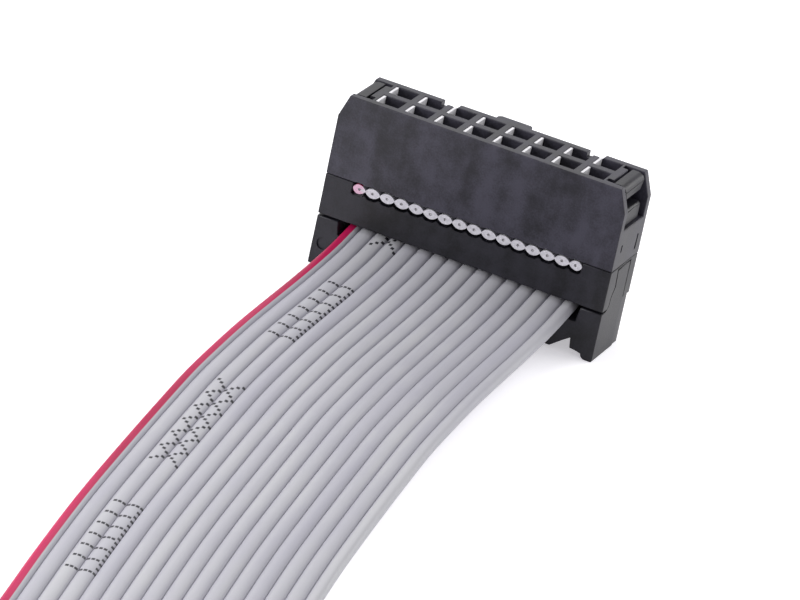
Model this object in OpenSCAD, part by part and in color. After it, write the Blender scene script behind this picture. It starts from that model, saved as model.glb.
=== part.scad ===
// Flat ribbon cable, 16 wires, with a 2 x 8 way socket connector clamped on each end.
// The near connector stands on the rails of its strain relief and the cable leaves
// its front. Origin: on the floor, under the middle of the near connector.
// X runs along the row of sockets with wire 1 at -X, +Y is the keyed back, +Z the
// mating face.

/* [Sockets and contacts] */
// Spacing of the sockets, along the row and between the two rows
pitch = 2.54; // [2.46:0.01:2.62]
// Width of a socket opening along the row
socket_w = 1.98; // [1.8:0.01:2.02]
// Depth of a socket opening across the row
socket_d = 1.72; // [1.6:0.01:1.8]
// Thickness of the sprung strip that a contact is stamped from
strip_t = 0.2; // [0.15:0.01:0.25]
// Gap between the jaws where they grip a pin
jaw_gap = 0.5; // [0.4:0.02:0.6]
// Thickness of the forked blade that pierces the cable
fork_t = 0.3; // [0.2:0.01:0.35]
// Width of each tine of the fork
tine_w = 0.25; // [0.2:0.01:0.27]

/* [Socket housing] */
// Height from the parting plane to the mating face
housing_h = 6.9; // [6.6:0.1:8.5]
// Thickness of the front and back walls
cheek_t = 0.76; // [0.65:0.01:0.9]
// Thickness of the floor that the contacts stand on
floor_t = 0.7; // [0.5:0.05:1.0]
// Thickness of the end walls of the socket block
core_wall = 0.22; // [0.2:0.01:0.4]
// Thickness of the boss on each end of the socket block
boss_t = 0.5; // [0.3:0.05:0.8]
// Width of that boss across the connector
boss_w = 3.0; // [2.4:0.1:3.6]
// Thickness of the wall that closes each end of the housing
end_wall_t = 0.7; // [0.5:0.05:0.9]
// Height of that wall above the parting plane
end_wall_h = 3.3; // [2.9:0.1:3.8]
// Length cut from the top corners of the front and back walls
corner_cut = 0.7; // [0.3:0.1:1.0]
// Height of the cut corners
corner_h = 1.9; // [1.0:0.1:2.4]
// Width of the polarising key at its root
key_w = 3.0; // [2.6:0.1:4.5]
// Depth that the key stands out from the back
key_d = 0.9; // [0.6:0.05:1.3]
// Height of the key
key_h = 5.6; // [4.0:0.1:6.0]
// Width of the two notches in the back wall
notch_w = 1.4; // [0.8:0.1:1.6]
// Depth of the notches below the mating face
notch_h = 0.45; // [0.3:0.05:1.0]

/* [Cover] */
// Height of the cover without its latch arms
cover_h = 3.5; // [3.3:0.05:4.2]
// Thickness of a latch arm
arm_t = 0.85; // [0.75:0.05:1.1]
// Width of a latch arm across the connector
arm_w = 3.0; // [2.0:0.1:3.6]
// Width of the arm's head across the connector
head_w = 3.9; // [3.2:0.1:4.0]
// Overhang of the barb that locks over the housing's end wall
barb_d = 0.55; // [0.25:0.05:0.6]

/* [Strain relief] */
// Height from the floor to the underside of the cover
relief_h = 4.3; // [3.8:0.05:4.6]
// Gap between the end blocks and the cover
relief_gap = 0.18; // [0.1:0.02:0.4]
// Length of each end block
block_l = 1.85; // [1.6:0.05:2.1]
// Width of each foot rail
rail_w = 1.05; // [0.8:0.05:1.3]
// Thickness of the latch arms that clip to the cover
clip_t = 0.6; // [0.45:0.05:0.7]
// Width of those arms at the top
clip_w = 2.6; // [2.0:0.1:2.8]

/* [Cable] */
// Thickness of the cable over a wire
wire_t = 0.9; // [0.8:0.01:0.92]
// Thickness over a wire where the cable is clamped
pinch_t = 0.74; // [0.66:0.01:0.78]
// Thickness of the web between two wires
web_t = 0.26; // [0.2:0.02:0.34]
// How much lower the cable comes out than where the relief holds it
exit_drop = 0.42; // [0.2:0.02:0.5]
// Diameter of a wire's bundle of strands
core_d = 0.36; // [0.3:0.01:0.38]

/* [Fits] */
// Gap between two mouldings that are pressed together
seam = 0.04; // [0.02:0.01:0.06]
// Gap round the cable and the contacts
fit = 0.03; // [0.02:0.01:0.04]
// Gap on each side of a latch arm
play = 0.15; // [0.1:0.01:0.2]
// Gap round the arms of the strain relief, where they lie in the cover
clip_gap = 0.1; // [0.06:0.01:0.14]

/* [Hidden] */
$fn = 48;

moulding = "#3a3a3f";
tin = "#c9c9cc";
copper = "#b8734a";
insulation = "#b4b3ba";

// The grid of sockets and the row of wires
columns = 8;
wires = 2 * columns;
wire_pitch = pitch / 2;
cable_w = (wires - 1) * wire_pitch + wire_t;

// Outline of the connector
core_end = (columns - 1) / 2 * pitch + socket_w / 2 + core_wall;
arm_in = core_end + boss_t + play;
arm_out = arm_in + arm_t;
end_x = arm_out + play + end_wall_t;
body_t = pitch + socket_d + 2 * cheek_t;
slot_half = body_t / 2 - cheek_t;

// Depth of the clamped cable's middle below the parting plane
middle_drop = 0.32;

// Heights above the floor
cover_z = relief_h;
part_z = cover_z + cover_h;
mate_z = part_z + housing_h;
socket_floor_z = part_z + floor_t;
latch_z = part_z + end_wall_h;
pinched_z = part_z - middle_drop;
returned_z = cover_z - fit - wire_t / 2;

// Latch arm of the cover
head_h = 1.2;
neck_h = 0.9;
neck_t = 0.35;
head_d = 0.3;
head_round = 0.6;
head_flare = 0.7;
barb_bevel = 0.2;
arm_top_z = mate_z - 0.05;
head_z = arm_top_z - head_h;

// Latch arm of the strain relief
clip_y = -1.18;
clip_back = clip_y + clip_w;
clip_waist = 0.22;
clip_shoulder = 0.34;
clip_top_z = part_z - 0.32;
waist_z = clip_top_z - 1.5;
shoulder_z = waist_z - 0.75;
flare_r = 0.5;
nub_d = 0.2;
nub_h = 0.45;
nub_z = clip_top_z - 1.0;
nub_front = clip_y + 0.5;
nub_back = clip_back - 0.5;

// Strain relief
block_top = relief_h - relief_gap;
block_in = end_x - block_l;
block_slant = 0.15;
bar_top = returned_z - wire_t / 2 - fit;
bar_low = 0.2;
bar_shallow = 1.4;
toe_z = 0.5;
rail_inner_r = 0.45;
rail_outer_r = 0.12;
bevel_step = 0.08;
bevel_x = 0.13;
ejector_r = 0.53;
ejector_h = 0.15;

// Half the width of the flat crest over each wire
crest = 0.24 * wire_pitch;

// Width of a contact's jaws across the row, and its fork
contact_w = socket_d - 2 * 0.06;
fork_gap = core_d + 0.14;
fork_w = fork_gap + 2 * tine_w;
fork_low = pinched_z - pinch_t / 2 - 0.2;

// The route of the cable's middle. It is pinched between cover and housing, folds
// round the back of the cover, leaves the front under it and lies down on the floor.
// The free points are [x, y, z]; both ends of the route lie in the connectors.
far_x = 11.3;
far_y = -170.5;
free_points = [
    [0.0, -5.0, 3.02], [0.0, -8.0, 2.65], [0.1, -13.0, 2.4], [0.2, -18.0, 2.25],
    [0.4, -23.0, 2.2], [0.7, -28.0, 2.1], [1.0, -33.0, 1.85], [1.4, -38.0, 1.4],
    [2.1, -45.0, 0.9], [3.4, -55.0, 0.55], [5.1, -65.0, 0.46], [7.0, -75.0, 0.46], [8.7, -85.0, 0.46],
    [10.1, -97.0, 0.46], [11.0, -109.0, 0.46], [11.3, -121.0, 0.46], [11.3, -132.0, 0.5],
    [11.3, -138.0, 0.7], [11.3, -144.0, 1.15], [11.3, -150.0, 1.75], [11.3, -156.0, 2.3],
    [11.3, -162.0, 2.75]
];
fold_steps = 6;
fold_r = (pinched_z - returned_z) / 2;
fold_z = (pinched_z + returned_z) / 2;
// The fold and the way back under the cover, for a cable that leaves towards -Y;
// side -1 gives the mirror image for the far end.
function folded(side) = concat(
    [for (i = [0:fold_steps]) let (a = 90 - 180 * i / fold_steps)
        [0, side * (body_t / 2 + fold_r * cos(a)), fold_z + fold_r * sin(a)]],
    [[0, 0, returned_z], [0, -side * body_t / 2, returned_z - exit_drop]]
);
function reversed(list) = [for (i = [len(list) - 1:-1:0]) list[i]];
route = concat(
    folded(1),
    free_points,
    [for (p = reversed(folded(-1))) p + [far_x, far_y, 0]]
);

// The cable's ribbed section with thickness t over a wire, larger all round by grow
function upper_edge(t, grow) = let (
        flank = atan2((t - web_t) / 2, wire_pitch / 2 - crest),
        web = web_t / 2 + grow / cos(flank),
        half_top = crest + grow * tan(flank / 2))
    concat(
        [[-cable_w / 2 - grow, web]],
        [for (w = [0:wires - 1]) let (x = wire_x(w))
            each concat(w > 0 ? [[x - wire_pitch / 2, web]] : [],
                        [[x - half_top, t / 2 + grow], [x + half_top, t / 2 + grow]])],
        [[cable_w / 2 + grow, web]]
    );
function section(t, grow = 0) = let (upper = upper_edge(t, grow))
    concat(upper, [for (p = reversed(upper)) [p.x, -p.y]]);
cable_section = section(wire_t);

// Sweep of that section along the route, pressed thinner at both ends
function unit(v) = v / norm(v);
function heading(i) = i == 0 || i == len(route) - 1
    ? [0, 1, 0]
    : unit(route[i + 1] - route[i - 1]);
function across(t) = abs(t.y) < 1e-3 ? [1, 0, 0] : unit([1, -t.x / t.y, 0]);
function pressed(i) = i == 0 || i == len(route) - 1 ? pinch_t / wire_t : 1;
function ring(i) = let (t = heading(i), w = across(t), n = cross(w, t) * pressed(i))
    [for (p = cable_section) route[i] + p.x * w + p.y * n];

// Place of contact number k, counted from wire 1 with the front row first
function contact_x(k) = (floor(k / 2) - (columns - 1) / 2) * pitch;
function contact_y(k) = k % 2 == 0 ? -pitch / 2 : pitch / 2;
function wire_x(k) = (k - (wires - 1) / 2) * wire_pitch;

module box(low, high) {
    translate(low) cube(high - low);
}

// Cuts in the XZ plane are drawn flat and pushed through the depth d about y = 0
module across_depth(d) {
    rotate([90, 0, 0]) linear_extrude(d, center = true) children();
}

module both_ends() {
    children();
    mirror([1, 0, 0]) children();
}

// ---- Socket housing ----

module housing_outline() {
    polygon([
        [-end_x, part_z], [end_x, part_z], [end_x, mate_z - corner_h],
        [end_x - corner_cut, mate_z], [-end_x + corner_cut, mate_z],
        [-end_x, mate_z - corner_h]
    ]);
}

module polarising_key() {
    top_z = mate_z - 0.1;
    slope = 0.3;
    translate([0, body_t / 2, top_z - key_h])
        linear_extrude(key_h)
            polygon([
                [-key_w / 2, -0.1], [key_w / 2, -0.1], [key_w / 2, key_d - slope],
                [key_w / 2 - slope, key_d], [-key_w / 2 + slope, key_d],
                [-key_w / 2, key_d - slope]
            ]);
}

module back_panel() {
    panel_w = 2.8;
    panel_t = 0.1;
    box([-panel_w, body_t / 2 - 0.1, part_z + 0.5],
        [panel_w, body_t / 2 + panel_t, mate_z - 0.3]);
}

module socket_cuts() {
    for (k = [0:wires - 1]) {
        translate([contact_x(k), contact_y(k), socket_floor_z])
            translate([-socket_w / 2, -socket_d / 2, 0]) cube([socket_w, socket_d, housing_h]);
        fork_slot(k, part_z - 1, socket_floor_z + 0.1);
    }
}

// Grooves that fit round the clamped cable, above it and below
module cable_grooves() {
    translate([0, 0, pinched_z]) across_depth(2 * body_t) polygon(section(pinch_t, fit));
}

// Passage of one fork, from height low to height high
module fork_slot(k, low, high) {
    box([wire_x(k) - fork_w / 2 - fit, contact_y(k) - fork_t / 2 - fit, low],
        [wire_x(k) + fork_w / 2 + fit, contact_y(k) + fork_t / 2 + fit, high]);
}

// Each notch has an upright side and a slanting one
module back_notches() {
    notch_shift = -0.12;
    notch_slant = 0.3;
    for (x = [-2 * pitch + notch_shift, 3 * pitch + notch_shift])
        translate([x, body_t, mate_z]) rotate([90, 0, 0])
            linear_extrude(body_t / 2 + cheek_t + 0.1)
                polygon([[-notch_w / 2, -notch_h], [notch_w / 2 - notch_slant, -notch_h],
                         [notch_w / 2, 0], [notch_w / 2, 1], [-notch_w / 2, 1]]);
}

// The wall that closes one end, with the two narrow slots that let it flex
module end_wall() {
    slot_w = 0.24;
    slot_y = slot_half - 0.42;
    difference() {
        box([end_x - end_wall_t, -slot_half, part_z], [end_x, slot_half, latch_z]);
        box([end_x - 0.3, -slot_y - slot_w / 2, part_z + 1.35],
            [end_x + 1, -slot_y + slot_w / 2, part_z + 2.0]);
        box([end_x - 0.3, slot_y - slot_w / 2, part_z + 0.65],
            [end_x + 1, slot_y + slot_w / 2, part_z + 2.0]);
    }
}

module housing() {
    color(moulding) union() {
        difference() {
            union() {
                across_depth(body_t) housing_outline();
                polarising_key();
                back_panel();
            }
            socket_cuts();
            cable_grooves();
            back_notches();
            both_ends() box([core_end, -slot_half, part_z - 1], [end_x + 1, slot_half, mate_z + 1]);
        }
        both_ends() {
            box([core_end - fit, -boss_w / 2, part_z], [core_end + boss_t, boss_w / 2, mate_z]);
            end_wall();
        }
    }
}

// ---- Cover ----

// Side view of one latch arm: barb, neck and rounded head
module arm_outline() {
    barb_z = latch_z + seam;
    barb_x = arm_out + barb_d;
    barb_top_z = head_z - neck_h;
    neck_x = arm_in + neck_t;
    head_x = arm_out + head_d;
    polygon(concat(
        [[arm_in, part_z - 1], [arm_out, part_z - 1], [arm_out, barb_z], [barb_x, barb_z],
         [barb_x, barb_top_z - barb_bevel], [barb_x - barb_bevel, barb_top_z],
         [neck_x, barb_top_z], [neck_x, head_z], [head_x, head_z]],
        [for (a = [0:15:90]) [head_x - head_round + head_round * cos(a),
                              arm_top_z - head_round + head_round * sin(a)]],
        [[arm_in, arm_top_z]]
    ));
}

// The arm is as wide as its barb up to the neck, and its head widens from there
module latch_arm() {
    across_depth(arm_w) arm_outline();
    intersection() {
        across_depth(head_w) arm_outline();
        rotate([90, 0, 90]) linear_extrude(2 * end_x)
            polygon([[-arm_w / 2, head_z], [arm_w / 2, head_z],
                     [head_w / 2, head_z + head_flare], [head_w / 2, arm_top_z + 1],
                     [-head_w / 2, arm_top_z + 1], [-head_w / 2, head_z + head_flare]]);
    }
}

// Outline of the strain relief's arm in the YZ plane, larger all round by grow. Its front
// edge tapers to a waist, steps out at a shoulder and flares into the top of the block.
module clip_outline(grow) {
    shoulder_y = clip_y - clip_shoulder;
    flare_y = shoulder_y - clip_gap - flare_r;
    flare_z = cover_z + flare_r;
    r = flare_r + clip_gap - grow;
    polygon(concat(
        [[clip_y - grow, clip_top_z + grow], [clip_back + grow, clip_top_z + grow],
         [clip_back + grow, block_top - 1], [flare_y, block_top - 1]],
        [for (a = [-90:15:0]) [flare_y + r * cos(a), flare_z + r * sin(a)]],
        [[shoulder_y - grow, shoulder_z], [clip_y + clip_waist - grow, waist_z]]
    ));
}

module cable_channel() {
    box([-cable_w / 2 - fit, -body_t, pinched_z], [cable_w / 2 + fit, body_t, part_z + 1]);
    cable_grooves();
}

module clip_recess() {
    translate([end_x - clip_t - fit, 0, 0])
        rotate([90, 0, 90]) linear_extrude(clip_t + 1) clip_outline(clip_gap);
    box([end_x - clip_t - nub_d - 2 * fit, nub_front - fit, nub_z - fit],
        [end_x, nub_back + fit, nub_z + nub_h + fit]);
}

module clamp_cover() {
    color(moulding) union() {
        difference() {
            box([-end_x, -body_t / 2, cover_z], [end_x, body_t / 2, part_z - seam]);
            cable_channel();
            for (k = [0:wires - 1]) fork_slot(k, fork_low - 0.15, part_z);
            both_ends() clip_recess();
        }
        both_ends() latch_arm();
    }
}

// ---- Strain relief ----

function rail_corner(x, r, start) = [for (a = [0:15:90])
    [x + r * cos(start - a), r + r * sin(start - a)]];

module relief_outline() {
    rail_x = end_x - rail_w;
    half = concat(
        [[block_in - block_slant, bar_top], [block_in, block_top], [end_x, block_top]],
        rail_corner(end_x - rail_outer_r, rail_outer_r, 0),
        rail_corner(rail_x + rail_inner_r, rail_inner_r, -90),
        [[rail_x, toe_z], [block_in - 0.2, toe_z + 0.05], [block_in - 0.3, bar_shallow],
         [block_in - 0.4, bar_shallow], [block_in - 1.85, bar_low]]
    );
    polygon(concat(half, [for (p = reversed(half)) [-p.x, p.y]]));
}

module relief_arm() {
    translate([end_x - clip_t, 0, 0]) rotate([90, 0, 90]) linear_extrude(clip_t)
        intersection() {
            clip_outline(0);
            translate([-body_t, block_top - 0.5]) square([2 * body_t, cover_h + 1]);
        }
    // Nub that snaps into the cover
    box([end_x - clip_t - nub_d, nub_front, nub_z],
        [end_x - clip_t + 0.1, nub_back, nub_z + nub_h]);
}

// Behind the arm each block rises to the cover, past a slot that lets the arm flex
module block_shoulder() {
    box([block_in, clip_back + clip_gap, block_top - 0.5], [end_x, body_t / 2, cover_z - seam]);
}

module flex_slot() {
    box([end_x - clip_t, clip_back, block_top - 0.7], [end_x + 1, clip_back + clip_gap, cover_z]);
}

// The bar's top slopes down from the middle both ways, so that the cable can leave on
// either side of the connector
module exit_slopes() {
    low_z = bar_top - exit_drop;
    rotate([90, 0, 90]) linear_extrude(2 * (block_in - block_slant), center = true)
        polygon([
            [0, bar_top], [-body_t / 2, low_z], [-body_t, low_z], [-body_t, cover_z],
            [body_t, cover_z], [body_t, low_z], [body_t / 2, low_z]
        ]);
}

// Behind the slot the end of each block steps in a little and leans back
module block_bevel() {
    translate([0, 0, -1]) linear_extrude(relief_h + 1)
        polygon([[end_x - bevel_step, clip_back + clip_gap], [end_x + 1, clip_back + clip_gap],
                 [end_x + 1, body_t], [end_x - bevel_x, body_t], [end_x - bevel_x, body_t / 2]]);
}

module relief() {
    color(moulding) difference() {
        union() {
            across_depth(body_t) relief_outline();
            both_ends() {
                relief_arm();
                block_shoulder();
            }
        }
        both_ends() {
            flex_slot();
            block_bevel();
        }
        exit_slopes();
        translate([-end_x + block_l / 2, -body_t / 2, (toe_z + block_top) / 2 - 0.4])
            rotate([90, 0, 0]) cylinder(r = ejector_r, h = 2 * ejector_h, center = true);
    }
}

// ---- Contacts ----

// Side view of the sprung jaws, about x = 0, standing on the socket floor. One jaw lies
// on the wall up to the rim and the other ends in a short lip.
module jaw_outline() {
    half_w = socket_w / 2 - fit;
    low_z = socket_floor_z + fit;
    long_tip_z = mate_z - 0.04;
    long_lip = 0.95;
    short_tip_z = mate_z - 1.2;
    short_lip = 0.25;
    grip_z = mate_z - 2.0;
    bend_z = low_z + 1.2;
    grip_x = jaw_gap / 2;
    function jaw(tip_z, lip) = [
        [half_w, low_z], [half_w, bend_z], [grip_x + strip_t + 0.02, grip_z - 0.35],
        [grip_x + strip_t + 0.02, grip_z + 0.3], [half_w, tip_z - lip], [half_w, tip_z],
        [half_w - strip_t, tip_z], [half_w - strip_t, tip_z - lip - 0.05],
        [grip_x, grip_z + 0.25], [grip_x, grip_z - 0.25],
        [half_w - strip_t, bend_z - 0.05], [half_w - strip_t, low_z + strip_t]
    ];
    polygon(concat(
        jaw(short_tip_z, short_lip),
        [for (p = reversed(jaw(long_tip_z, long_lip))) [-p.x, p.y]]
    ));
}

// Forked blade about x = 0, from the contact's foot down through the cable
module fork_outline() {
    top_z = socket_floor_z;
    slot_top = pinched_z + pinch_t / 2 + 0.05;
    polygon([
        [-fork_w / 2, top_z], [fork_w / 2, top_z], [fork_w / 2, fork_low + 0.15],
        [fork_w / 2 - tine_w / 2, fork_low], [fork_gap / 2, fork_low + 0.15],
        [fork_gap / 2, slot_top], [-fork_gap / 2, slot_top], [-fork_gap / 2, fork_low + 0.15],
        [-fork_w / 2 + tine_w / 2, fork_low], [-fork_w / 2, fork_low + 0.15]
    ]);
}

module contact(k) {
    shift = wire_x(k) - contact_x(k);
    inner = socket_w / 2 - fit;
    color(tin) translate([contact_x(k), contact_y(k), 0]) union() {
        across_depth(contact_w) jaw_outline();
        translate([shift, 0, 0]) across_depth(fork_t) fork_outline();
        // Neck that joins the fork to the jaws through the socket floor
        box([max(shift - fork_w / 2, -inner), -fork_t / 2, socket_floor_z - 0.1],
            [min(shift + fork_w / 2, inner), fork_t / 2, socket_floor_z + fit + strip_t / 2]);
    }
}

// ---- Cable ----

module strand_bundles() {
    color(copper) for (k = [0:wires - 1])
        translate([wire_x(k), 0, pinched_z])
            rotate([90, 0, 0]) cylinder(d = core_d, h = body_t - 0.3, center = true);
}

// The stretch that cover and housing pinch, cut flush with the connector's face, with
// room in the insulation for the strands and for the forks
module clamped_end() {
    color(insulation) difference() {
        translate([0, 0, pinched_z]) across_depth(body_t) polygon(section(pinch_t));
        for (k = [0:wires - 1]) {
            translate([wire_x(k), 0, pinched_z])
                rotate([90, 0, 0]) cylinder(d = core_d + 0.04, h = 2 * body_t, center = true);
            fork_slot(k, pinched_z - pinch_t, pinched_z + pinch_t);
        }
    }
}

// The rest of the cable, swept along the route from one clamped end to the other. Each
// end is closed by four-sided faces between the section's upper and lower edge.
module cable_ribbon() {
    size = len(cable_section);
    half = size / 2;
    last = len(route) - 1;
    color(insulation) polyhedron(
        points = [for (i = [0:last]) each ring(i)],
        faces = concat(
            [for (j = [0:half - 2]) [j, j + 1, size - 2 - j, size - 1 - j]],
            [for (j = [0:half - 2]) let (e = last * size)
                [e + j + 1, e + j, e + size - 1 - j, e + size - 2 - j]],
            [for (i = [0:last - 1], j = [0:size - 1]) let (n = (j + 1) % size)
                [i * size + j, (i + 1) * size + j, (i + 1) * size + n, i * size + n]]
        )
    );
}

module at_far_end() {
    translate([far_x, far_y, 0]) children();
}

housing();  // socket_housing
clamp_cover();  // cover
relief();  // strain_relief
contact(0);  // contact_01
contact(1);  // contact_02
contact(2);  // contact_03
contact(3);  // contact_04
contact(4);  // contact_05
contact(5);  // contact_06
contact(6);  // contact_07
contact(7);  // contact_08
contact(8);  // contact_09
contact(9);  // contact_10
contact(10);  // contact_11
contact(11);  // contact_12
contact(12);  // contact_13
contact(13);  // contact_14
contact(14);  // contact_15
contact(15);  // contact_16
strand_bundles();  // wire_cores
clamped_end();  // clamped_cable_end
cable_ribbon();  // ribbon
at_far_end() housing();  // far_socket_housing
at_far_end() clamp_cover();  // far_cover
at_far_end() relief();  // far_strain_relief
at_far_end() for (k = [0:wires - 1]) contact(k);  // far_contacts
at_far_end() strand_bundles();  // far_wire_cores
at_far_end() clamped_end();  // far_clamped_cable_end
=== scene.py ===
"""Flat ribbon cable, 16 wires, with a 2 x 8 way socket connector clamped on each end.

Lengths are in metres; MM turns the millimetres of the drawing into them.
"""
import math
import random

import bmesh
import bpy
from mathutils import Matrix, Vector
from mathutils.geometry import interpolate_bezier


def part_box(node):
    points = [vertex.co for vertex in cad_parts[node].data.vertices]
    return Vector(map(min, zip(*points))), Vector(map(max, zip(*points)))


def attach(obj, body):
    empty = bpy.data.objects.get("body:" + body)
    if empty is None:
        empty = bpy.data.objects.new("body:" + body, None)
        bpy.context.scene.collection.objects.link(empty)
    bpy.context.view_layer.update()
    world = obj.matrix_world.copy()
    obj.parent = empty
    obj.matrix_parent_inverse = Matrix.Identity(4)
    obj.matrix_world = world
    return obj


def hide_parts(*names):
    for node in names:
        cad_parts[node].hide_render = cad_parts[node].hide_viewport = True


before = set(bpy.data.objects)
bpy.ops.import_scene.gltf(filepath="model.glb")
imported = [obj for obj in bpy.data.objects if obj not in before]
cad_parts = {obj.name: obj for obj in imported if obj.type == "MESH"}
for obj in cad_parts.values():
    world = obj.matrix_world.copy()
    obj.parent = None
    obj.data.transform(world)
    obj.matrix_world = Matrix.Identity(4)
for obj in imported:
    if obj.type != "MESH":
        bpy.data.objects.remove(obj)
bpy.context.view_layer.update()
MM = 0.001


def in_scene(name, data):
    """Object with this data, linked into the scene."""
    made = bpy.data.objects.new(name, data)
    bpy.context.scene.collection.objects.link(made)
    return made


# ---- Camera ----
# A long lens stands in front of the near connector and to its right, looks a little
# down on it and is tilted, so that the cable runs off to the lower left.
camera_azimuth = math.radians(19.02)
camera_elevation = math.radians(22.86)
camera_roll = math.radians(12.06)
camera_place = Vector((138.82, -417.62, 184.49)) * MM
camera = in_scene("camera", bpy.data.cameras.new("camera"))
camera.data.sensor_width = 36
camera.data.lens = 270
camera.data.clip_start = 0.01
camera.matrix_world = (
    Matrix.Translation(camera_place)
    @ Matrix.Rotation(camera_azimuth, 4, "Z")
    @ Matrix.Rotation(math.pi / 2 - camera_elevation, 4, "X")
    @ Matrix.Rotation(camera_roll, 4, "Z")
)
bpy.context.scene.camera = camera

# ---- Ribbon cable ----
# Sixteen stranded wires side by side in one extruded PVC skin, thin at the webs between
# them. It is pinched flat between cover and housing, folds round the back of the cover
# and leaves the front under it, and the far end is clamped in the same way.
wires = 16
wire_t = 0.9 * MM
web_t = 0.38 * MM
under_gap = 0.03 * MM
exit_drop = 0.42 * MM
clamped_low, clamped_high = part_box("clamped_cable_end")
cable_w = clamped_high.x - clamped_low.x
wire_pitch = (cable_w - wire_t) / (wires - 1)
clamp_ease = 0.05 * MM
clamp_sink = 0.13 * MM
pinch_t = clamped_high.z - clamped_low.z + clamp_ease
pinched_web_t = 0.06 * MM
pinched_z = (clamped_high.z + clamped_low.z) / 2 - clamp_sink
front_y, back_y = clamped_low.y, clamped_high.y
returned_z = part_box("cover")[0].z - under_gap - wire_t / 2
far_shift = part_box("far_cover")[0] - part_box("cover")[0]
trim = 0.06 * MM

# The free stretch, in millimetres: down from the connector, along the table and up again.
free_points = [
    (0.0, -5.0, 3.02), (0.0, -8.0, 2.65), (0.1, -13.0, 2.4), (0.2, -18.0, 2.25),
    (0.4, -23.0, 2.2), (0.7, -28.0, 2.1), (1.0, -33.0, 1.85), (1.4, -38.0, 1.4),
    (2.1, -45.0, 0.9), (3.4, -55.0, 0.55), (5.1, -65.0, 0.46), (7.0, -75.0, 0.46), (8.7, -85.0, 0.46),
    (10.1, -97.0, 0.46), (11.0, -109.0, 0.46), (11.3, -121.0, 0.46), (11.3, -132.0, 0.5),
    (11.3, -138.0, 0.7), (11.3, -144.0, 1.15), (11.3, -150.0, 1.75), (11.3, -156.0, 2.3),
    (11.3, -162.0, 2.75),
]
clamp_steps = 6
fold_steps = 6
fold_r = (pinched_z - returned_z) / 2
fold_z = (pinched_z + returned_z) / 2


def clamped_route(side):
    """The stretch in the connector, from the cut end to where the cable comes out."""
    start, end = -side * (back_y - trim), side * back_y
    pinched = []
    for i in range(clamp_steps):
        pinched.append(Vector((0, start + (end - start) * i / clamp_steps, pinched_z)))
    folded = []
    for i in range(fold_steps + 1):
        a = math.pi / 2 - math.pi * i / fold_steps
        folded.append(Vector((0, side * (back_y + fold_r * math.cos(a)), fold_z + fold_r * math.sin(a))))
    mouth = Vector((0, -side * back_y, returned_z - exit_drop))
    return pinched + folded + [Vector((0, 0, returned_z)), mouth]


route = clamped_route(1)
route += [Vector(p) * MM for p in free_points]
route += [p + far_shift for p in reversed(clamped_route(-1))]


def route_heading(k):
    """Direction of the smooth line through the route at its point number k."""
    before = route[k] - route[max(k - 1, 0)]
    after = route[min(k + 1, len(route) - 1)] - route[k]
    return (before.normalized() + after.normalized()).normalized()


stride = 1.3 * MM
least_pieces = 3
path = [route[0]]
for k in range(len(route) - 1):
    reach = (route[k + 1] - route[k]).length
    pieces = max(least_pieces, round(reach / stride))
    path += interpolate_bezier(
        route[k],
        route[k] + route_heading(k) * reach / 3,
        route[k + 1] - route_heading(k + 1) * reach / 3,
        route[k + 1],
        pieces + 1,
    )[1:]


def station(k):
    """Matrix that places the cable's section at point number k of the path."""
    along = (path[min(k + 1, len(path) - 1)] - path[max(k - 1, 0)]).normalized()
    across = Vector((1, 0, 0))
    least_run = 1e-3
    if abs(along.y) > least_run:
        across = Vector((1, -along.x / along.y, 0)).normalized()
    up = across.cross(along)
    turned = Matrix((across, up, along)).transposed().to_4x4()
    return Matrix.Translation(path[k]) @ turned


def pressing(point):
    """Rises to 1 where a point of the path lies in a clamp, which presses the cable flat."""
    swell = 1.6 * MM
    pressed = 0
    for connector in (Vector(), far_shift):
        local = point - connector
        if local.z > fold_z:
            pressed = max(pressed, 1 - max(0, (abs(local.y) - back_y) / swell))
    return pressed


# The section is one loop of edges, over the crests from -X to +X and back underneath. The
# crests dip to the webs between the wires, and the two outer edges are round.
crest_steps = 12
fullness = 1.2
pressed_fullness = 0.3
rim_t = 0.08 * MM
bm = bmesh.new()
along_layer = bm.verts.layers.float.new("along")
across_layer = bm.verts.layers.float.new("across")
side_layer = bm.verts.layers.float.new("side")
bulge_layer = bm.verts.layers.float.new("bulge")
section = []
for side in (1, -1):
    for i in range(wires * crest_steps + 1):
        wire = min(i // crest_steps, wires - 1)
        a = (i / crest_steps - wire) * math.pi
        outer = min(i, wires * crest_steps - i) < crest_steps / 2
        half_w = wire_t / 2 if outer else wire_pitch / 2
        vert = bm.verts.new()
        vert[across_layer] = side * ((wire - (wires - 1) / 2) * wire_pitch - half_w * math.cos(a))
        vert[side_layer] = side
        vert[bulge_layer] = max(0, math.sin(a)) ** fullness
        section.append(vert)
ring = [bm.edges.new(pair) for pair in zip(section, section[1:] + section[:1])]


def set_section(verts, k, along):
    """Gives one section its place and its shape at point number k of the path."""
    place, pressed = station(k), pressing(path[k])
    crest_t = wire_t + (pinch_t - wire_t) * pressed
    root_t = web_t + (pinched_web_t - web_t) * pressed
    sharpening = 1 + pressed_fullness * pressed
    for vert in verts:
        root = rim_t if abs(vert[across_layer]) > cable_w / 2 - wire_t / 2 else root_t
        thickness = root + (crest_t - root) * vert[bulge_layer] ** sharpening
        vert.co = place @ Vector((vert[across_layer], vert[side_layer] * thickness / 2, 0))
        vert[along_layer] = along


set_section(section, 0, 0)
tip, cable_length = section, 0
for k in range(1, len(path)):
    grown = bmesh.ops.extrude_edge_only(bm, edges=ring)["geom"]
    ring = [g for g in grown if isinstance(g, bmesh.types.BMEdge)]
    tip = [g for g in grown if isinstance(g, bmesh.types.BMVert)]
    cable_length += (path[k] - path[k - 1]).length
    set_section(tip, k, cable_length)


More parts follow.
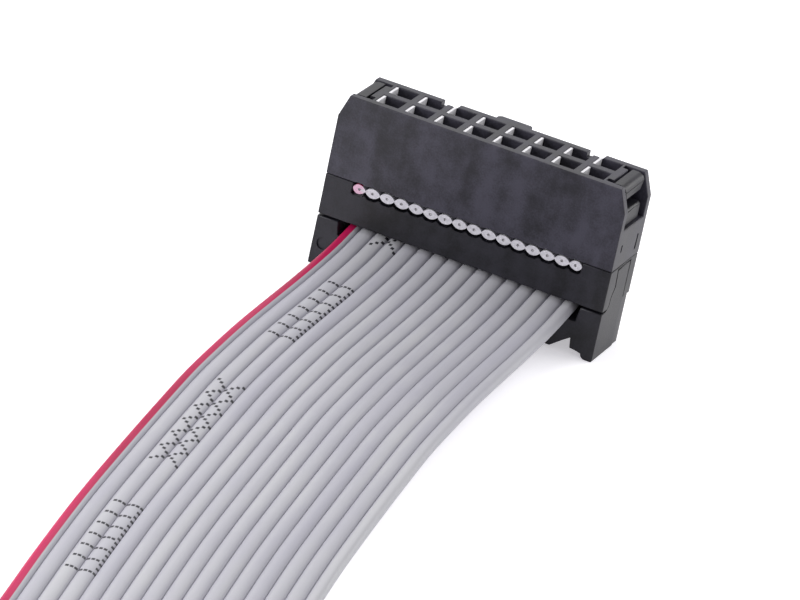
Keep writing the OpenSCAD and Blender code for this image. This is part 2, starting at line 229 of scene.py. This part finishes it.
def cut_end(verts):
    """Closes a cut end with one face for each wire, and opens a hole for its strands."""
    hole_r = 0.12 * MM
    hole_depth = 0.3 * MM
    hole_inset = 0.02 * MM
    verts = sorted(verts, key=lambda v: (-v[side_layer], v[side_layer] * v[across_layer]))
    span = wires * crest_steps
    upper, lower = verts[:span + 1], verts[:span:-1]
    faces = []
    for first in range(0, span, crest_steps):
        outline = upper[first:first + crest_steps + 1] + lower[first:first + crest_steps + 1]
        faces += bmesh.ops.contextual_create(bm, geom=outline)["faces"]
    bmesh.ops.recalc_face_normals(bm, faces=bm.faces)
    for face in faces:
        face.material_index = 1
    bmesh.ops.inset_individual(bm, faces=faces, thickness=hole_inset)
    for face in faces:
        centre = face.calc_center_bounds()
        for vert in face.verts:
            vert.co = centre + (vert.co - centre).normalized() * hole_r
    bmesh.ops.inset_individual(bm, faces=faces, depth=-hole_depth)


cut_end(section)
cut_end(tip)


def new_piece(name, bm, replaced):
    """Object that is made of a bmesh, rides on the root body and stands for some CAD nodes."""
    mesh = bpy.data.meshes.new(name)
    bm.to_mesh(mesh)
    bm.free()
    piece = in_scene(name, mesh)
    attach(piece, "root")
    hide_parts(*replaced)
    return piece


def shade(piece, sharp_angle):
    """Smooth shading, apart from edges that are sharper than an angle in degrees."""
    piece.data.shade_smooth()
    piece.data.set_sharp_from_angle(angle=math.radians(sharp_angle))


cable = new_piece(
    "ribbon_cable", bm, ["ribbon", "clamped_cable_end", "far_clamped_cable_end"]
)
shade(cable, 40)

# ---- Shader helpers ----
# Every material is written as arithmetic on Flow values. These name the sockets that
# several nodes give only by number.
OBJECT_SPACE = 3
FACTOR = 2
MIX_FIRST, MIX_SECOND, MIX_COLOUR = 6, 7, 2


class Flow:
    """One output of a shader node. Python's operators on it add Math nodes."""

    def __init__(self, tree, socket=None):
        self.tree = tree
        self.socket = socket

    def node(self, kind, settings=None, sockets=None, out=0):
        """Adds a shader node with its settings, then its sockets' values or links."""
        made = self.tree.nodes.new("ShaderNode" + kind)
        for name, value in (settings or {}).items():
            setattr(made, name, value)
        for name, value in (sockets or {}).items():
            if isinstance(value, Flow):
                self.tree.links.new(value.socket, made.inputs[name])
            else:
                made.inputs[name].default_value = value
        return Flow(self.tree, made.outputs[out] if made.outputs else None)

    def math(self, operation, *values):
        return self.node("Math", {"operation": operation}, dict(enumerate((self, *values))))

    def __add__(self, other):
        return self.math("ADD", other)

    def __mul__(self, other):
        return self.math("MULTIPLY", other)

    def __sub__(self, other):
        return self.math("SUBTRACT", other)

    def __rsub__(self, other):
        return self.node("Math", {"operation": "SUBTRACT"}, {0: other, 1: self})

    def __truediv__(self, other):
        return self.math("DIVIDE", other)

    def __mod__(self, other):
        return self.math("FLOORED_MODULO", other)

    def __abs__(self):
        return self.math("ABSOLUTE")

    def __lt__(self, other):
        return self.math("LESS_THAN", other)

    def __gt__(self, other):
        return self.math("GREATER_THAN", other)

    __radd__ = __add__
    __rmul__ = __mul__

    def floor(self):
        return self.math("FLOOR")

    def ramp(self, low, high):
        """Rises from 0 to 1 as the value goes from low to high."""
        return self.node("MapRange", {"interpolation_type": "SMOOTHSTEP"}, {0: self, 1: low, 2: high})

    def blend(self, first, second):
        """Goes from the first colour to the second with the value."""
        sockets = {MIX_FIRST: first, MIX_SECOND: second, 0: self}
        return self.node("Mix", {"data_type": "RGBA"}, sockets, out=MIX_COLOUR)


def attribute(flow, name):
    """Value that was stored with each point of the cable's skin."""
    return flow.node("Attribute", {"attribute_name": name}, out=FACTOR)


def new_material(name):
    """Empty material, and the flow that starts in its node tree."""
    material = bpy.data.materials.new(name)
    material.use_nodes = True
    material.node_tree.nodes.clear()
    return material, Flow(material.node_tree)


def grain(flow, scale, detail=2.0, stretch=(1, 1, 1), place=None):
    """Cloudy noise from 0 to 1 in the piece's own space; scale counts clouds in a metre."""
    if place is None:
        place = flow.node("TexCoord", out=OBJECT_SPACE)
    stretched = flow.node("Mapping", None, {"Vector": place, "Scale": stretch})
    sockets = {"Vector": stretched, "Scale": scale, "Detail": detail}
    return flow.node("TexNoise", None, sockets)


def raised(flow, height, distance):
    """Normal of a surface that the height, from 0 to 1, lifts by up to a distance."""
    return flow.node("Bump", None, {"Strength": 1.0, "Distance": distance, "Height": height})


def finish_with(flow, sockets):
    """Ends a material in one plastic or metal surface."""
    surface = flow.node("BsdfPrincipled", None, sockets)
    flow.node("OutputMaterial", None, {"Surface": surface})


# ---- Cable's materials ----
# Grey PVC with a red stripe and dotted marks on its upper side, and the plain PVC of the
# cut ends. Both read the places along and across the cable that its skin carries.


def printed_marks(along, across, side):
    """Rows of small ink dots near the striped edge: scales and waves in turn."""
    pitch_along, pitch_across = 0.39 * MM, 0.34 * MM
    half_dot_along, half_dot_across = 0.42, 0.38
    rows = 7
    repeat = 56
    scale_end, waves_end = 30.5, 36.5
    first_along = 25.5 * MM
    first_across = 2.6 * MM
    column = (along - first_along) / pitch_along
    row = (across + cable_w / 2 - first_across) / pitch_across
    dot = (abs(column % 1 - 0.5) < half_dot_along) * (abs(row % 1 - 0.5) < half_dot_across)
    column, row = column.floor(), row.floor()
    cell = column % repeat
    turn = (column / repeat).floor() % 2
    tick = ((cell % 5) < 0.5) * (row < 5.5)
    rail = (cell % 2 < 0.5) * (row > 5.5)
    scale = (tick + rail) * (cell < scale_end)
    wave = abs(abs(cell % 12 - 6) - row) < 0.5
    echo = abs(abs((cell + 6) % 12 - 6) - row) < 0.5
    waves = (wave + echo) * (cell < waves_end)
    marks = scale * (1 - turn) + waves * turn
    return dot * marks * (abs(row - 3) < rows / 2) * (side < 0)


def insulation_material():
    """Soft grey PVC, striped red along the outer half of wire 1 and printed beside it."""
    material, flow = new_material("grey_pvc")
    along = attribute(flow, "along")
    across = attribute(flow, "across")
    side = attribute(flow, "side")
    lay = flow.node("CombineXYZ", None, {"X": across, "Y": along})
    grey, pale = (0.335, 0.33, 0.375, 1), (0.405, 0.405, 0.42, 1)
    red, dark_red = (0.41, 0.005, 0.07, 1), (0.3, 0.004, 0.045, 1)
    ink, groove_shade = (0.02, 0.019, 0.024, 1), (0.3, 0.296, 0.335, 1)
    stripe_w = 0.76 * MM
    stripe_core_w = 0.72 * MM
    stripe_waver = 0.05 * MM
    place = across / wire_pitch + wires / 2
    wire = place.floor()
    shade = flow.node("TexWhiteNoise", {"noise_dimensions": "1D"}, {"W": wire})
    streaks = grain(flow, 900, 3.0, (1, 0.06, 1), lay)
    mottle = grain(flow, 350)
    patches = grain(flow, 130, 2.0, (1, 0.35, 1), lay)
    tone = shade * 0.12 + streaks * 0.4 + mottle * 0.2 + patches * 0.5
    colour = tone.ramp(0.35, 0.85).blend(grey, pale)
    # Painted shade: the colour darkens towards the webs between the wires, where the grooves lie in
    # shade.
    colour = abs(place % 1 - 0.5).ramp(0.28, 0.5).blend(colour, groove_shade)
    edge = (across + cable_w / 2) + (streaks - 0.5) * stripe_waver
    stripe = edge.ramp(stripe_w, stripe_core_w)
    paint = streaks.ramp(0.3, 0.7).blend(dark_red, red)
    colour = stripe.blend(colour, paint)
    wear = grain(flow, 9000, 2.0).ramp(0.15, 0.4)
    marks = printed_marks(along, across, side) * wear
    colour = marks.blend(colour, ink)
    height = grain(flow, 5200, 3.0) * 0.6 + streaks * 0.4
    finish_with(flow, {
        "Base Color": colour,
        "Specular IOR Level": 0.3,
        "Roughness": 0.42 + mottle * 0.12,
        "Normal": raised(flow, height, 0.012 * MM),
    })
    return material


def cut_pvc_material():
    """The same PVC where it was cut: plain, a little paler, tinged pink under the stripe."""
    material, flow = new_material("cut_pvc")
    across = attribute(flow, "across")
    grey, pale, pink = (0.37, 0.36, 0.395, 1), (0.44, 0.43, 0.465, 1), (0.46, 0.28, 0.38, 1)
    tinge_w = 1.2 * MM
    tinge_core_w = 0.7 * MM
    cloud = grain(flow, 4000, 3.0)
    colour = cloud.ramp(0.3, 0.7).blend(grey, pale)
    tinge = (across + cable_w / 2).ramp(tinge_w, tinge_core_w)
    finish_with(flow, {
        "Base Color": tinge.blend(colour, pink),
        "Roughness": 0.55 + cloud * 0.15,
        "Normal": raised(flow, cloud, 0.015 * MM),
    })
    return material


cable.data.materials.append(insulation_material())
cable.data.materials.append(cut_pvc_material())

# ---- Strands ----
# Each wire is a bundle of seven tinned copper strands. They show as small dots where
# the cable was cut, just inside the skin.
strand_r = 0.038 * MM
lay_r = 2.05 * strand_r
outer_strands = 6
strand_sides = 10
strand_overhang = 0.05 * MM
unevenness = 0.05 * MM


def strand_bundles(name, node):
    """Seven strands for each wire, as long as the CAD bundle and cut a little unevenly."""
    low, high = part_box(node)
    draw = random.Random(node)
    bm = bmesh.new()
    for wire in range(wires):
        centre = Vector(((low.x + high.x) / 2, 0, pinched_z))
        centre.x += (wire - (wires - 1) / 2) * wire_pitch
        turn = draw.uniform(0, math.pi / 3)
        for strand in range(outer_strands + 1):
            a = turn + strand * math.pi / 3
            from_middle = lay_r if strand < outer_strands else 0
            offset = Vector((math.cos(a), 0, math.sin(a))) * from_middle
            short = draw.uniform(0, unevenness)
            start = centre + offset + Vector((0, low.y - strand_overhang + short, 0))
            placing = Matrix.Translation(start) @ Matrix.Rotation(math.pi / 2, 4, "X")
            rod = bmesh.ops.create_circle(bm, cap_ends=True, radius=strand_r, segments=strand_sides)
            bmesh.ops.transform(bm, matrix=placing, verts=rod["verts"])
            face = rod["verts"][0].link_faces[0]
            grown = bmesh.ops.extrude_face_region(bm, geom=[face])["geom"]
            tips = [g for g in grown if isinstance(g, bmesh.types.BMVert)]
            length = Vector((0, high.y - low.y + 2 * strand_overhang - 2 * short, 0))
            bmesh.ops.translate(bm, vec=length, verts=tips)
    bmesh.ops.recalc_face_normals(bm, faces=bm.faces)
    piece = new_piece(name, bm, [node])
    shade(piece, 50)
    return piece


def strand_material():
    """Tinned copper, dull where the cutter smeared it."""
    material, flow = new_material("tinned_strands")
    dull, bright = (0.24, 0.225, 0.24, 1), (0.42, 0.41, 0.43, 1)
    smear = grain(flow, 6000, 3.0)
    finish_with(flow, {
        "Base Color": smear.ramp(0.3, 0.7).blend(dull, bright),
        "Metallic": 0.3,
        "Roughness": 0.45 + smear * 0.2,
        "Normal": raised(flow, smear, 0.01 * MM),
    })
    return material


near_strands = strand_bundles("strands", "wire_cores")
far_strands = strand_bundles("far_strands", "far_wire_cores")
tinned = strand_material()
for piece in (near_strands, far_strands):
    piece.data.materials.append(tinned)

# ---- Black mouldings ----
# Socket housing, cover and strain relief are moulded in black glass-filled nylon. Their
# corners are rounded a little, and the thick walls have sunk in faint upright streaks.
edge_r = 0.08 * MM
long_edge = 0.7 * MM
merge_distance = 0.001 * MM
flat_angle = math.radians(0.5)
edge_angle = math.radians(30)
bed_low, bed_high = clamped_low.z - 0.1 * MM, clamped_low.z + 0.25 * MM
bed_slack = 0.36 * MM


def slacken_grooves(bm):
    """Lowers the grooves of a cover, which leaves a dark line under the cable."""
    bed = [v for v in bm.verts if bed_low < v.co.z < bed_high]
    bmesh.ops.translate(bm, vec=(0, 0, -bed_slack), verts=bed)


def moulding(name, node):
    """Copy of a moulded part with its flat faces joined and its longer edges rounded."""
    bm = bmesh.new()
    bm.from_mesh(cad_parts[node].data)
    bmesh.ops.remove_doubles(bm, verts=bm.verts, dist=merge_distance)
    if node.endswith("cover"):
        slacken_grooves(bm)
    bmesh.ops.dissolve_limit(
        bm, angle_limit=flat_angle, verts=bm.verts, edges=bm.edges, delimit={"NORMAL"}
    )
    sharp = [
        e for e in bm.edges
        if e.is_manifold and e.calc_face_angle() > edge_angle and e.calc_length() > long_edge
    ]
    bmesh.ops.bevel(
        bm, geom=sharp, offset=edge_r, affect="EDGES", segments=2, profile=0.5, material=-1,
        clamp_overlap=False,
    )
    piece = new_piece(name, bm, [node])
    shade(piece, 32)
    flatten = piece.modifiers.new("flat_faces", "WEIGHTED_NORMAL")
    flatten.keep_sharp = True
    return piece


def moulding_material(name, deep, pale):
    """Black nylon: satin, with fine grain, and upright streaks where it has sunk."""
    material, flow = new_material(name)
    fine = grain(flow, 6500, 4.0)
    cloud = grain(flow, 700, 3.0)
    streaks = grain(flow, 420, 2.0, (1, 1, 0.22))
    tone = cloud * 0.35 + streaks * 0.45 + fine * 0.2
    colour = tone.ramp(0.36, 0.64).blend(deep, pale)
    height = fine * 0.5 + cloud * 0.15 + streaks * 0.35
    finish_with(flow, {
        "Base Color": colour,
        "Specular IOR Level": 0.28,
        "Roughness": 0.3 + tone * 0.24,
        "Normal": raised(flow, height, 0.02 * MM),
    })
    return material


housing_nylon = moulding_material(
    "housing_nylon", deep=(0.0095, 0.009, 0.0128, 1), pale=(0.034, 0.032, 0.046, 1)
)
# Cover and strain relief take a darker copy of the same nylon: painted shade on their faces.
cover_nylon = moulding_material(
    "cover_nylon", deep=(0.003, 0.003, 0.0042, 1), pale=(0.013, 0.0125, 0.018, 1)
)
for end in ("", "far_"):
    for part in ("socket_housing", "cover", "strain_relief"):
        piece = moulding(end + part + "_moulding", end + part)
        piece.data.materials.append(housing_nylon if part == "socket_housing" else cover_nylon)

# ---- Contacts ----
# Sixteen contacts in each connector, stamped from phosphor bronze strip and tinned. A
# pin is held between their jaws, and their forks bite into the wires below.


def contact_material():
    """Tin plate on bronze: pale, satin and a little cloudy."""
    material, flow = new_material("tin_plate")
    cloudy, clear = (0.68, 0.675, 0.69, 1), (0.8, 0.79, 0.81, 1)
    cloud = grain(flow, 1500, 3.0)
    finish_with(flow, {
        "Base Color": cloud.ramp(0.3, 0.7).blend(cloudy, clear),
        "Metallic": 0.2,
        "Specular IOR Level": 0.3,
        "Roughness": 0.6 + cloud * 0.2,
        "Normal": raised(flow, grain(flow, 8000, 2.0), 0.006 * MM),
    })
    return material


tin_plate = contact_material()
for name in [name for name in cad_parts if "contact" in name]:
    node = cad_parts[name]
    node.data.materials.clear()
    node.data.materials.append(tin_plate)

# ---- Floor and light ----
# Plain white table under an even white sky. Soft lamps stand high behind it on the right,
# high on the left side and low behind on both sides, with a small one low in front.


def even_glow(colour, strength):
    """White surroundings that light everything alike."""
    world = bpy.data.worlds.new("surroundings")
    world.use_nodes = True
    world.node_tree.nodes.clear()
    flow = Flow(world.node_tree)
    glow = flow.node("Background", None, {"Color": colour, "Strength": strength})
    flow.node("OutputWorld", None, {"Surface": glow})
    bpy.context.scene.world = world


def soft_lamp(name, place, aim, size, power):
    """Square soft lamp that points at a place."""
    lamp = in_scene(name, bpy.data.lights.new(name, "AREA"))
    lamp.data.size = size
    lamp.data.energy = power
    lamp.location = place
    lamp.rotation_euler = (aim - place).to_track_quat("-Z", "Y").to_euler()


def table_material():
    """White card that glows a little, so that it stays white all over."""
    material, flow = new_material("white_table")
    white, paler = (0.8, 0.8, 0.8, 1), (0.82, 0.82, 0.82, 1)
    mist = grain(flow, 40)
    finish_with(flow, {
        "Base Color": mist.blend(white, paler),
        "Roughness": 0.9,
        "Emission Color": (0.97, 0.955, 1, 1),
        "Emission Strength": 0.46,
    })
    return material


even_glow((0.97, 0.96, 1, 1), 0.56)
cable_spot = Vector((0, -0.02, 0))
housing_spot = Vector((0, 0, 0.01))
left_end = Vector((-0.012, 0, 0.01))
soft_lamp("key", Vector((0.3, 0.25, 0.5)), cable_spot, size=0.4, power=1.5)
soft_lamp("side", Vector((-0.22, 0.02, 0.42)), cable_spot, size=0.35, power=0.6)
soft_lamp("back", Vector((-0.17, 0.52, 0.23)), housing_spot, size=0.3, power=0.32)
soft_lamp("rim", Vector((0.24, 0.48, 0.14)), housing_spot, size=0.2, power=0.5)
soft_lamp("fill", Vector((-0.12, -0.14, 0.07)), left_end, size=0.08, power=0.3)

table_size = 6.0
table_drop = 0.01 * MM
bm = bmesh.new()
bmesh.ops.create_grid(bm, x_segments=1, y_segments=1, size=table_size / 2)
bmesh.ops.translate(bm, vec=(0, 0, -table_drop), verts=bm.verts)
mesh = bpy.data.meshes.new("table")
bm.to_mesh(mesh)
bm.free()
table = in_scene("table", mesh)
table.data.materials.append(table_material())

bpy.context.scene.view_settings.view_transform = "Standard"
